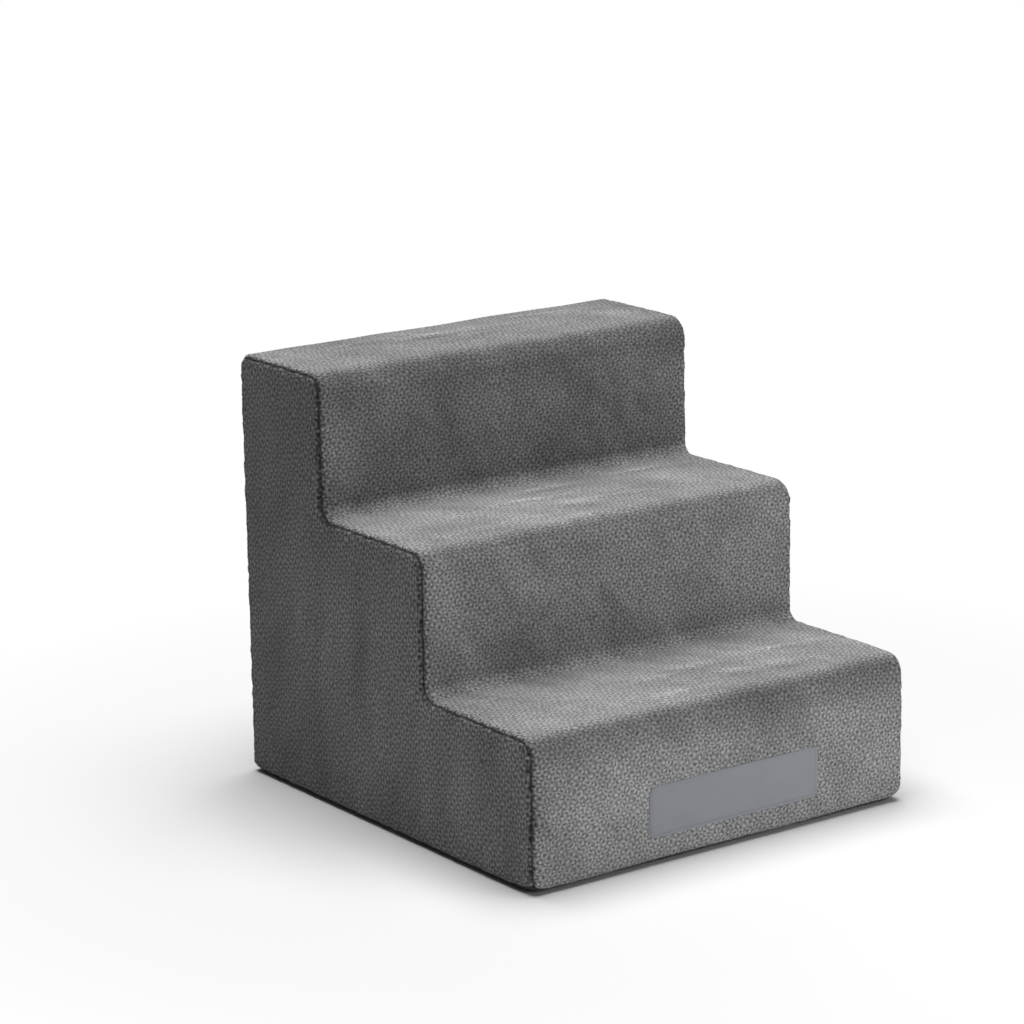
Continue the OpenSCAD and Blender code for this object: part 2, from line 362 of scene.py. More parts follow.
def sheet_relief(s, w, seed=21):
    """Height, tone and cloth coordinates of the cover's sheet, with its seams."""
    side_gap = W_SEAM - np.abs(w)
    pucker = gathers(s, side_gap, 31)
    for seam in CROSS_SEAMS:
        pucker = pucker + gathers(w, s - seam, 41) * 0.5
    u, v = shaken(s, w, seed)
    press = label_cover(s, w)
    height = smooth_relief(s, w) + pucker + NUB_HEIGHT * tufts(u, v) * (1 - press) - 0.5 * MM * press
    height -= SEAM_DEPTH * near(side_gap, SEAM_SPREAD)
    # The nap varies at random; the folds and puckers are drawn brighter on their rises and darker in their
    # dips, as painted light and shade
    tone = 1 + 0.27 * nap_of(s, w, 51) + 0.40 * wrinkles(s, w) + 0.30 * pucker / MM
    # Near a seam the tufts get stronger painted light and shade
    tone *= 1 + SEAM_TUFT_PAINTED_LIGHT * (tufts(u, v) - 0.5) * fade(side_gap, 5 * MM)
    # Painted light: the pile is drawn brighter near the floor, darker towards the top, and brighter or
    # darker on each run
    rise = outline.at(s)[1] / TOP_Z
    tone *= seam_painted_shade(side_gap) * (FLOOR_PAINTED_LIGHT + (TOP_PAINTED_LIGHT - FLOOR_PAINTED_LIGHT) * rise) * run_painted_light(s)
    # Painted shade over each nosing and on the riser below it
    for corner, sharp, broad in NOSING_PAINTED_SHADES:
        gap = s - outline.mids[corner]
        tone *= (1 - sharp * near(gap, TURN_SPREAD)) * (1 - broad * near(gap + BELOW_TURN, BELOW_TURN))
    # The cross seams are sunk, with painted shade down in them
    for seam in CROSS_SEAMS:
        height -= SEAM_DEPTH * 0.8 * near(s - seam, SEAM_SPREAD)
        tone *= seam_painted_shade(s - seam)
    return height, tone, u, v


# ---- Meshes ----

def piece(name, points, faces, material, slot, stands_for=(), maps=None, tone=None, cloth=None):
    """A mesh object that rides on the stairs. maps is one (u, v) for each vertex, tone scales the pile's
    colour at each, for its random nap and for painted light and shade, and cloth is the pair of coordinates
    in which the pile is drawn."""
    mesh = bpy.data.meshes.new(name)
    points = np.asarray(points, dtype=np.float32).reshape(-1, 3)
    mesh.vertices.add(len(points))
    mesh.vertices.foreach_set("co", points.ravel())
    groups = faces if isinstance(faces, list) else [faces]
    corners = np.concatenate([np.asarray(g, dtype=np.int32).ravel() for g in groups])
    sizes = np.concatenate([np.full(len(g), np.shape(g)[1], dtype=np.int32) for g in groups])
    starts = np.concatenate([[0], np.cumsum(sizes)[:-1]]).astype(np.int32)
    mesh.loops.add(len(corners))
    mesh.loops.foreach_set("vertex_index", corners)
    mesh.polygons.add(len(sizes))
    mesh.polygons.foreach_set("loop_start", starts)
    mesh.polygons.foreach_set("loop_total", sizes)
    mesh.polygons.foreach_set("use_smooth", np.ones(len(sizes), bool))
    mesh.update(calc_edges=True)
    mesh.validate()
    if maps is not None:
        layer = mesh.uv_layers.new(name="OFBake")
        layer.uv.foreach_set("vector", np.asarray(maps, dtype=np.float32)[corners].ravel())
    if tone is not None:
        bright = mesh.attributes.new("tone", "FLOAT", "POINT")
        bright.data.foreach_set("value", tone.astype(np.float32).ravel())
    if cloth is not None:
        flat = np.stack([*cloth, np.zeros(len(points))], axis=-1).astype(np.float32)
        mesh.attributes.new("cloth", "FLOAT_VECTOR", "POINT").data.foreach_set("vector", flat.ravel())
    obj = bpy.data.objects.new(name, mesh)
    bpy.context.scene.collection.objects.link(obj)
    mesh.materials.append(material)
    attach(obj, "stairs")
    if stands_for:
        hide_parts(*stands_for)
    return obj


def grid_faces(rows, columns, wrap_columns=False):
    """Quads of a grid of vertices numbered row by row."""
    r, c = np.arange(rows - 1), np.arange(columns if wrap_columns else columns - 1)
    r, c = np.meshgrid(r, c, indexing="ij")
    on = (c + 1) % columns
    low, high = r * columns, (r + 1) * columns
    return np.stack([low + c, low + on, high + on, high + c], axis=-1).reshape(-1, 4)


def flip(faces):
    """The same faces, looking the other way."""
    return np.asarray(faces)[:, ::-1]


def skirt_faces(count, *firsts):
    """Quads between rings of count vertices each; firsts are the rings' first vertices."""
    ring = np.arange(count)
    after = (ring + 1) % count
    return np.concatenate([np.stack([ring + a, after + a, after + b, ring + b], axis=-1)
                           for a, b in zip(firsts, firsts[1:])])


def merged(parts):
    """Joins (vertices, quads) pairs."""
    points, faces, first = [], [], 0
    for vertices, quads in parts:
        points.append(vertices)
        faces.append(np.asarray(quads) + first)
        first += len(vertices)
    return np.concatenate(points), np.concatenate(faces)


def fit_map(u, v):
    """The two coordinates scaled alike into the unit square, with a small margin."""
    size = max(np.ptp(u), np.ptp(v)) * 1.02
    return np.stack([(u - u.min()) / size + 0.01, (v - v.min()) / size + 0.01], axis=-1)


def steps_between(first, last, step):
    """Evenly spaced values, at most step apart, with both ends."""
    return np.linspace(first, last, int(math.ceil((last - first) / step)) + 1)


def with_tucks(values, last_too=True):
    """Grid lines with extra ones at the ends, and how deep each of them is tucked in."""
    depths = np.array([1, 0.6, 0.3]) * TUCK
    lines = np.concatenate([np.full(3, values[0]), values])
    tucks = np.concatenate([depths, np.zeros(len(values))])
    if last_too:
        lines = np.concatenate([lines, np.full(3, values[-1])])
        tucks = np.concatenate([tucks, depths[::-1]])
    return lines, tucks


def cover_strip(name, s_first, s_last, material, slot, stands_for, relief):
    """A strip of the cover between two cross seams."""
    lines_s, tuck_s = with_tucks(steps_between(s_first, s_last, GRAIN))
    lines_w, tuck_w = with_tucks(steps_between(-W_SEAM, W_SEAM, GRAIN))
    s, w = np.meshgrid(lines_s, lines_w, indexing="ij")
    tuck = np.maximum(*np.meshgrid(tuck_s, tuck_w, indexing="ij"))
    height, tone, u, v = relief(s, w)
    points = cover_point(s, w, height - tuck)
    return piece(name, points, flip(grid_faces(*s.shape)), material, slot, stands_for=stands_for,
                 maps=fit_map(w.ravel() + tuck.ravel() * np.sign(w.ravel()) * 0.5,
                              s.ravel() + tuck.ravel() * 0.5 * np.sign(s.ravel() - s.mean())),
                 tone=tone, cloth=(u.ravel(), v.ravel()))


def hex_points(low, high, step):
    """Points of a triangular grid over a rectangle."""
    rows = np.arange(low[1], high[1], step * 0.866)
    columns = np.arange(low[0], high[0], step)
    v, u = np.meshgrid(rows, columns, indexing="ij")
    u = u + (np.arange(len(rows)) % 2)[:, None] * step / 2
    return np.stack([u.ravel(), v.ravel()], axis=-1)


def inside(points, loop):
    """True for each point inside a closed loop."""
    found = np.zeros(len(points), bool)
    for (x0, y0), (x1, y1) in zip(loop, np.roll(loop, -1, axis=0)):
        if y0 == y1:
            continue
        crosses = (y0 > points[:, 1]) != (y1 > points[:, 1])
        found ^= crosses & (points[:, 0] < (x1 - x0) * (points[:, 1] - y0) / (y1 - y0) + x0)
    return found


def nearest(loop, points):
    """Index of the nearest loop point to each point, and the gap to it."""
    tree = KDTree(len(loop))
    for i, (u, v) in enumerate(loop):
        tree.insert((u, v, 0), i)
    tree.balance()
    found = [tree.find((u, v, 0))[1:] for u, v in points]
    return np.array([f[0] for f in found], int), np.array([f[1] for f in found])


def filled(loop, step):
    """Points and triangles that fill a loop, whose own points come first."""
    loose = hex_points(loop.min(0), loop.max(0), step)
    loose = loose[inside(loose, loop)]
    loose = loose[nearest(loop, loose)[1] > step * 0.7]
    flat = np.concatenate([loop, loose])
    found = delaunay_2d_cdt([Vector(p) for p in flat], [], [list(range(len(loop)))], 1, 1e-9)
    order = [origin[0] for origin in found[3]]
    faces = np.array([[order[i] for i in face] for face in found[2]])
    a, b, c = (flat[faces[:, i]] for i in range(3))
    turn = (b[:, 0] - a[:, 0]) * (c[:, 1] - a[:, 1]) - (b[:, 1] - a[:, 1]) * (c[:, 0] - a[:, 0])
    faces[turn < 0] = faces[turn < 0][:, ::-1]
    return flat, faces[np.abs(turn) > 1e-14]


# ---- Side panels ----

def side_relief(y, z, gap, along, seed):
    """Height, tone and cloth coordinates of a side panel; gap is the distance in from its seam."""
    bulge = 2.2 * MM * (1 - np.exp(-np.maximum(gap - 4 * MM, 0) / (45 * MM)))
    streaks = soft_noise(y / 0.024, z / 0.16, seed) * (1 - fade(gap, 20 * MM))
    height = bulge + 0.45 * MM * streaks + 0.35 * MM * soft_noise(y / 0.05, z / 0.06, seed + 4)
    height *= np.clip(gap / (12 * MM), 0, 1)
    pucker = gathers(along, gap, seed + 8) * 1.35
    u, v = shaken(y * SIDE_PILE, z * SIDE_PILE, seed + 12)
    height += pucker - SEAM_DEPTH * near(gap, SEAM_SPREAD) + NUB_HEIGHT * 0.9 * tufts(u, v)
    # The nap varies at random; the side is drawn brighter on its raised streaks and puckers and darker in
    # their dips, as painted light and shade
    tone = 1 + 0.17 * nap_of(y * 1.4, z * 0.7, seed + 16) + 0.20 * streaks + 0.42 * pucker / MM
    # Near the seam the tufts get stronger painted light and shade
    tone *= 1 + SEAM_TUFT_PAINTED_LIGHT * (tufts(u, v) - 0.5) * fade(gap, 7 * MM)
    # Painted shade: the side is drawn darker towards the back
    tone *= 0.98 - 0.30 * (y - FRONT_Y) / (BACK_Y - FRONT_Y)
    return height, tone * seam_painted_shade(gap), u, v


def side_panel(name, side, material, slot, stands_for):
    """A stepped side: rows over the rounded edge, then a filled middle."""
    count = int(outline.length / GRAIN)
    s = np.arange(count) * outline.length / count
    lines_w, tucks = with_tucks(steps_between(W_SEAM, W_SIDE, GRAIN), last_too=False)
    w, along = np.meshgrid(lines_w, s, indexing="ij")
    tuck = np.repeat(tucks[:, None], count, axis=1)
    y, z, ny, nz = outline.at(s)
    flat, faces = filled(np.stack([y - ny * ROLL_R, z - nz * ROLL_R], axis=-1), GRAIN)
    loose = flat[count:]
    index, gap = nearest(flat[:count], loose)
    sunk = ROLL_R * (1 - np.cos((w - FLAT_HALF) / ROLL_R))
    gap_all = np.concatenate([(w - W_SEAM).ravel(), gap + (W_SIDE - W_SEAM)])
    along_all = np.concatenate([along.ravel(), s[index]])
    y_all = np.concatenate([(y - ny * sunk).ravel(), loose[:, 0]])
    z_all = np.concatenate([(z - nz * sunk).ravel(), loose[:, 1]])
    height, tone, u, v = side_relief(y_all, z_all, gap_all, along_all, 61 if side < 0 else 81)
    rows = cover_point(along, w, height[:w.size].reshape(w.shape) - tuck)
    middle = foot_rounded(np.stack([HALF_W + height[w.size:], loose[:, 0], loose[:, 1]], axis=-1))
    points = np.concatenate([rows.reshape(-1, 3), middle])
    points[:, 0] *= side
    band = grid_faces(len(lines_w), count, wrap_columns=True)
    faces = faces + w.size - count
    if side < 0:
        band, faces = flip(band), flip(faces)
    spread = W_SIDE - w - ROLL_R + tuck * 0.5
    return piece(name, points, [band, faces], material, slot, stands_for=stands_for,
                 maps=fit_map(np.concatenate([(y + ny * spread).ravel(), loose[:, 0]]),
                              np.concatenate([(z + nz * spread).ravel(), loose[:, 1]])),
                 tone=tone, cloth=(u, v))


# ---- Back panels, drawn in (x, height) and laid on the cover ----

def height_to_s(z):
    """Arc length on the back at height z."""
    return outline.turns[6][1] + (TOP_Z - EDGE_R - z)


# The height, measured along the cover, at which the back meets the base
FOOT_Z = TOP_Z - EDGE_R - (S_UNDER - outline.turns[6][1])


def arch_path(off, foot, step):
    """The zipper's arch moved outwards by off, from foot to foot: points and normals."""
    radius = ZIP_CORNER_R + off
    x, top = ZIP_X - ZIP_CORNER_R, ZIP_TOP - ZIP_CORNER_R
    rise = steps_between(foot, top, step)[:-1]
    turn = steps_between(0, math.pi / 2, step / radius)
    cross = steps_between(-x, x, step)[1:-1]
    points = [(-x - radius, z) for z in rise]
    points += [(-x - radius * math.cos(a), top + radius * math.sin(a)) for a in turn]
    points += [(c, top + radius) for c in cross]
    points += [(x + radius * math.sin(a), top + radius * math.cos(a)) for a in turn]
    points += [(x + radius, z) for z in rise[::-1]]
    normals = [(-1, 0) for z in rise] + [(-math.cos(a), math.sin(a)) for a in turn] + [(0, 1) for c in cross]
    normals += [(math.sin(a), math.cos(a)) for a in turn] + [(1, 0) for z in rise]
    return np.array(points), np.array(normals, float)


def by_length(points, normals, gaps):
    """Points and unit normals of a path at the lengths given."""
    reach = reaches(points)
    read = [np.interp(gaps, reach, column) for column in (*points.T, *normals.T)]
    places, out = np.stack(read[:2], axis=-1), np.stack(read[2:], axis=-1)
    return places, out / np.linalg.norm(out, axis=1)[:, None]


def slot_gap(flat):
    """Distance from the zipper's slot, along the back."""
    x, z = np.abs(flat[:, 0]), flat[:, 1]
    over = np.hypot(np.maximum(x - (ZIP_X - ZIP_CORNER_R), 0), np.maximum(z - (ZIP_TOP - ZIP_CORNER_R), 0))
    beside = np.abs(over - ZIP_CORNER_R) - SLOT_HALF
    below = np.hypot(np.maximum(np.abs(x - ZIP_X) - SLOT_HALF, 0), SLOT_FOOT - z)
    return np.maximum(np.where(z < SLOT_FOOT, below, beside), 0)


def line_points(*corners):
    """Points along straight lines between corners, without the last corner."""
    points = []
    for start, end in zip(corners, corners[1:]):
        count = max(1, int(round(np.linalg.norm(np.subtract(end, start)) / GRAIN)))
        points += [np.add(start, np.subtract(end, start) * i / count) for i in range(count)]
    return np.array(points)


def back_relief(flat, seed):
    """Height, tone and cloth coordinates of a back panel, with its rolled and stitched hem."""
    w, s = flat[:, 0], height_to_s(flat[:, 1])
    height, tone, u, v = sheet_relief(s, w, seed)
    gap = slot_gap(flat)
    drop = HEM_R - np.sqrt(np.maximum(HEM_R ** 2 - np.maximum(HEM_R - gap, 0) ** 2, 0))
    dent = near(gap - HEM_STITCH, 1.1 * MM)
    below = near(np.abs(w) - ZIP_X, 0.9 * MM) * (flat[:, 1] < SLOT_FOOT)
    pucker = gathers(s + w, gap - HEM_STITCH, seed + 2) * 0.45
    height = height - drop + pucker - 0.9 * MM * dent - 1.0 * MM * below
    # Painted shade in the stitched dent and in the groove below the slot, and painted light and shade on the
    # puckers
    return height, tone * (1 - 0.35 * dent) * (1 - 0.5 * below) + 0.15 * pucker / MM, u, v


def back_sheet(name, loop, material, slot, stands_for, seed):
    """A back panel, tucked in along its edge; loop is its closed outline in (x, height)."""
    flat, faces = filled(loop, GRAIN)
    height, tone, u, v = back_relief(flat, seed)
    w, s = flat[:, 0], height_to_s(flat[:, 1])
    count = len(loop)
    tucked = [cover_point(s[:count], w[:count], height[:count] - depth) for depth in (0.4 * TUCK, TUCK)]
    points = np.concatenate([cover_point(s, w, height), *tucked])
    skirt = skirt_faces(count, 0, len(flat), len(flat) + count)
    after = np.roll(loop, -1, axis=0)
    ahead = after - np.roll(loop, 1, axis=0)
    out = np.stack([ahead[:, 1], -ahead[:, 0]], axis=-1) / np.linalg.norm(ahead, axis=1)[:, None]
    if (loop[:, 0] * after[:, 1] - loop[:, 1] * after[:, 0]).sum() < 0:
        skirt, out = flip(skirt), -out
    flat_all = np.concatenate([flat, loop + out * 0.2 * TUCK, loop + out * 0.5 * TUCK])
    again = [np.concatenate([values, values[:count], values[:count]]) for values in (tone, u, v)]
    return piece(name, points, [flip(faces), skirt], material, slot, stands_for=stands_for,
                 maps=fit_map(*flat_all.T), tone=again[0], cloth=again[1:])


def flap_loop():
    """Outline of the flap inside the zipper."""
    arch = arch_path(-SLOT_HALF, SLOT_FOOT, GRAIN)[0]
    x = ZIP_X - 0.3 * MM
    return np.concatenate([arch[:-1], line_points(arch[-1], (x, SLOT_FOOT), (x, FOOT_Z), (-x, FOOT_Z),
                                                  (-x, SLOT_FOOT), arch[0])])


def border_loop():
    """Outline of the border round the zipper, open at its foot for the flap."""
    arch = arch_path(SLOT_HALF, SLOT_FOOT, GRAIN)[0][::-1]
    x = ZIP_X + 0.3 * MM
    return np.concatenate([arch[:-1], line_points(
        arch[-1], (-x, SLOT_FOOT), (-x, FOOT_Z), (-W_SEAM, FOOT_Z), (-W_SEAM, STRIP_END_Z),
        (W_SEAM, STRIP_END_Z), (W_SEAM, FOOT_Z), (x, FOOT_Z), (x, SLOT_FOOT), arch[0])])


# ---- Threads, tapes and coils ----

def tube(points, normals, radius, sides=8):
    """A round tube along points; normals are across it. Returns vertices and quads."""
    points, normals = np.asarray(points), np.asarray(normals)
    ahead = np.gradient(points, axis=0)
    ahead /= np.linalg.norm(ahead, axis=1)[:, None]
    across = np.cross(ahead, normals)
    across /= np.linalg.norm(across, axis=1)[:, None]
    up = np.cross(across, ahead)
    turns = np.linspace(0, 2 * math.pi, sides, endpoint=False)
    radius = np.broadcast_to(radius, len(points))[:, None, None]
    rings = points[:, None] + radius * (
        across[:, None] * np.cos(turns)[None, :, None] + up[:, None] * np.sin(turns)[None, :, None])
    return rings.reshape(-1, 3), grid_faces(len(points), sides, wrap_columns=True)


def stitch(start, end, normal, radius):
    """One stitch: a short thread that dips into the cloth at both ends."""
    shares = np.array([0, 0.06, 0.2, 0.5, 0.8, 0.94, 1])
    lifts = np.array([-1.6, -0.5, 0.35, 0.6, 0.35, -0.5, -1.6]) * radius
    middle = start + (end - start) * shares[:, None] + normal * lifts[:, None]
    return tube(middle, np.repeat(normal[None], 7, axis=0), radius, sides=6)


def stitches(pairs, radius):
    """Stitches between (start, end, outer point) triples of points."""
    parts = []
    for start, end, outer in pairs:
        normal = outer - (start + end) / 2
        parts.append(stitch(start, end, normal / np.linalg.norm(normal), radius))
    return merged(parts)


def seam_stitches(name, side, stands_for):
    """The thread in a side seam, down in the groove between the strip and the side panel."""
    first = np.arange(0, outline.length - STITCH_PITCH, STITCH_PITCH)
    w = np.full(len(first), side * W_SEAM)
    low = np.full(len(first), -SEAM_DEPTH + 0.45 * MM)
    start, end = (cover_point(first + share * STITCH_PITCH, w, low) for share in (0, STITCH_SHARE))
    outer = cover_point(first + STITCH_SHARE / 2 * STITCH_PITCH, w, low + 3 * MM)
    return piece(name, *stitches(zip(start, end, outer), 0.42 * MM), THREAD, "thread", stands_for=stands_for)


def hem_stitches(name, off):
    """A row of stitches beside the zipper's slot."""
    points, normals = arch_path(off, SLOT_FOOT + 5 * MM, GRAIN)
    first = np.arange(0, reaches(points)[-1] - STITCH_PITCH, STITCH_PITCH)
    ends = []
    for share in (0, STITCH_SHARE):
        flat, _ = by_length(points, normals, first + share * STITCH_PITCH)
        height = back_relief(flat, 0)[0]
        height -= NUB_HEIGHT * tufts(*shaken(height_to_s(flat[:, 1]), flat[:, 0], 0)) - 0.55 * MM
        ends.append(cover_point(height_to_s(flat[:, 1]), flat[:, 0], height))
    outer = (ends[0] + ends[1]) / 2 + np.array([0, 1, 0]) * MM
    return piece(name, *stitches(zip(*ends, outer), 0.36 * MM), THREAD, "thread")


def sweep(foot, section):
    """A solid along the zipper's arch; section is a closed loop of (offset outwards, y)."""
    points, normals = arch_path(0, foot, GRAIN)
    middle = section.mean(0)
    rows = []
    for i, size in [(0, 0.002), *((i, 1) for i in range(len(points))), (len(points) - 1, 0.002)]:
        spread = middle + (section - middle) * size
        flat = points[i] + normals[i] * spread[:, :1]
        rows.append(np.stack([flat[:, 0], spread[:, 1], flat[:, 1]], axis=-1))
    rows = np.array(rows)
    return rows.reshape(-1, 3), grid_faces(len(rows), len(section), wrap_columns=True)


def zipper_tape(name, side, stands_for):
    """One half of the tape, with a slightly thicker woven edge at the coil."""
    inner, outer = COIL_OFF - 1.25 * MM, TAPE_HIGH.x - ZIP_X
    reach = np.linspace(inner, outer, 14)
    rib = 0.12 * MM * np.cos((reach - inner) * 2 * math.pi / (3.1 * MM))
    top = TAPE_HIGH.y - 0.14 * MM + rib
    under = np.full(len(reach), TAPE_LOW.y)
    section = np.stack([np.concatenate([reach, reach[::-1]]) * side, np.concatenate([top, under])], axis=-1)
    points, faces = sweep(TAPE_LOW.z, section)
    faces = flip(faces) if side > 0 else faces
    return piece(name, points, faces, TAPE, "zipper_tape", stands_for=stands_for)


def zipper_coil(name, side, stands_for):
    """One coil: a nylon wire wound along the tape's edge."""
    points, normals = arch_path(side * COIL_OFF, ZIP_FOOT + COIL_WIRE, 0.5 * MM)
    length = reaches(points)[-1]
    gaps = np.linspace(0, length, int(length / COIL_PITCH * 10))
    flat, out = by_length(points, normals, gaps)
    phase = gaps * 2 * math.pi / COIL_PITCH + (0 if side > 0 else math.pi)
    away = out * np.cos(phase)[:, None]
    middle = flat + away * COIL_WIDE
    depth = COIL_Y + (COIL_R - COIL_WIRE) * np.sin(phase)
    wire = np.stack([middle[:, 0], depth, middle[:, 1]], axis=-1)
    normals = np.stack([away[:, 0], np.sin(phase), away[:, 1]], axis=-1)
    return piece(name, *tube(wire, normals, COIL_WIRE, sides=6), NYLON, "zipper_coil", stands_for=stands_for)


# ---- Label, base and foam ----

def rounded_loop(half_u, half_v, radius):
    """A rounded rectangle's outline, anticlockwise."""
    points = []
    for i, (u, v) in enumerate([(1, -1), (1, 1), (-1, 1), (-1, -1)]):
        for angle in np.linspace(0, math.pi / 2, 8) + math.pi / 2 * (i - 1):
            points.append((u * (half_u - radius) + radius * math.cos(angle),
                           v * (half_v - radius) + radius * math.sin(angle)))
    closed = np.array(points + points[:1])
    reach = reaches(closed)
    at = np.arange(0, reach[-1], reach[-1] / round(reach[-1] / (1.2 * MM)))
    return np.stack([np.interp(at, reach, column) for column in closed.T], axis=-1)


def label_height(flat):
    """Height of the patch above the cover's smooth sheet, with its stitched border."""
    edge = np.minimum(LABEL_HALF.x - np.abs(flat[:, 0]), LABEL_HALF.z - np.abs(flat[:, 1]))
    pillow = 0.35 * MM * (1 - np.exp(-np.maximum(edge, 0) / (6 * MM)))
    return 0.25 * MM + pillow - 0.35 * MM * near(edge - LABEL_BORDER, 0.6 * MM)


def label_patch(name, stands_for):
    """The bare patch on the lower riser, with its edge turned in."""
    loop = rounded_loop(LABEL_HALF.x, LABEL_HALF.z, LABEL_CORNER)
    flat, faces = filled(loop, 1.5 * MM)
    w, s = flat[:, 0] + LABEL_MID.x, flat[:, 1] + LABEL_S
    height = smooth_relief(s, w) + label_height(flat)
    count = len(loop)
    turned_in = cover_point(s[:count], w[:count], height[:count] - LABEL_EDGE)
    points = np.concatenate([cover_point(s, w, height), turned_in])
    skirt = flip(skirt_faces(count, 0, len(flat)))
    maps = fit_map(*np.concatenate([flat, loop * (1.01, 1.04)]).T)
    return piece(name, points, [faces, skirt], LABEL, "label_cloth", stands_for=stands_for, maps=maps)


def label_stitches(name):
    """The stitched border of the patch."""
    half_u, half_v, radius = (size - LABEL_BORDER for size in (LABEL_HALF.x, LABEL_HALF.z, LABEL_CORNER))
    loop = rounded_loop(half_u, half_v, radius)
    count = len(loop) // 3
    ends = []
    for share in (0, 2):
        flat = loop[(np.arange(count) * 3 + share) % len(loop)]
        w, s = flat[:, 0] + LABEL_MID.x, flat[:, 1] + LABEL_S
        ends.append(cover_point(s, w, smooth_relief(s, w) + label_height(flat) + 0.18 * MM))
    outer = (ends[0] + ends[1]) / 2 + np.array([0, -1, 0]) * MM
    return piece(name, *stitches(zip(*ends, outer), 0.22 * MM), LABEL_THREAD, "label_cloth")


def base_relief(s, w):
    """The woven base, just clear of the floor."""
    height = -0.55 * MM + 0.12 * MM * soft_noise(s / 0.03, w / 0.03, 71)
    return height, np.ones(np.shape(s)), s, w


def grip_dots(name):
    """Rubbery dots under the base, which touch the floor."""
    low, high = FRONT_Y + EDGE_R + 6 * MM, BACK_Y - EDGE_R - 6 * MM
    spots = hex_points((-HALF_W + 16 * MM, low), (HALF_W - 16 * MM, high), 9 * MM)
    rings = [(1.9, 0.75), (1.75, 0.35), (1.3, 0.1), (0.05, 0.0)]
    turns = np.linspace(0, 2 * math.pi, 10, endpoint=False)
    shape = np.array([(r * math.cos(a), r * math.sin(a), h) for r, h in rings for a in turns]) * MM
    faces = flip(grid_faces(len(rings), len(turns), wrap_columns=True))
    points = shape[None] + np.concatenate([spots, np.zeros((len(spots), 1))], axis=1)[:, None]
    faces = faces[None] + (np.arange(len(spots)) * len(shape))[:, None, None]
    return piece(name, points, faces.reshape(-1, 4), RUBBER, "grip_fabric")


def foam_block(name, node, radius, material, slot, seed):
    """A foam block with rounded, slightly uneven faces."""
    low, high = (np.array(corner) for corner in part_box(node))
    size = high - low
    lines = [np.concatenate([np.array([0, 0.25, 0.6]) * radius,
                             steps_between(radius, length - radius, 8 * MM),
                             length - np.array([0.6, 0.25, 0]) * radius]) for length in size]
    points, faces, first = [], [], 0
    for axis in range(3):
        a, b = (axis + 1) % 3, (axis + 2) % 3
        for end in (0, 1):
            u, v = np.meshgrid(lines[a], lines[b], indexing="ij")
            side = np.empty((*u.shape, 3))
            side[..., a], side[..., b], side[..., axis] = u, v, end * size[axis]
            quads = grid_faces(*u.shape) + first
            faces.append(quads if end == 0 else flip(quads))
            points.append(side.reshape(-1, 3))
            first += u.size
    points = np.concatenate(points)
    core = np.clip(points, radius, size - radius)
    off = points - core
    points = core + off * (radius / np.linalg.norm(off, axis=1))[:, None]
    _, keep, to = np.unique(np.round(points / (0.01 * MM)).astype(np.int64), axis=0,
                            return_index=True, return_inverse=True)
    points, faces = points[keep], to.ravel()[np.concatenate(faces)]
    x, y, z = points.T
    uneven = 0.4 * MM * (soft_noise(x / 0.05 + z / 0.03, y / 0.05, seed) - 1)
    out = points - size / 2
    points = points + uneven[:, None] * np.sign(out) * (np.abs(out) > size / 2 - radius)
    block = piece(name, points + low, faces, material, slot, stands_for=[node])
    return block


# ---- Materials ----

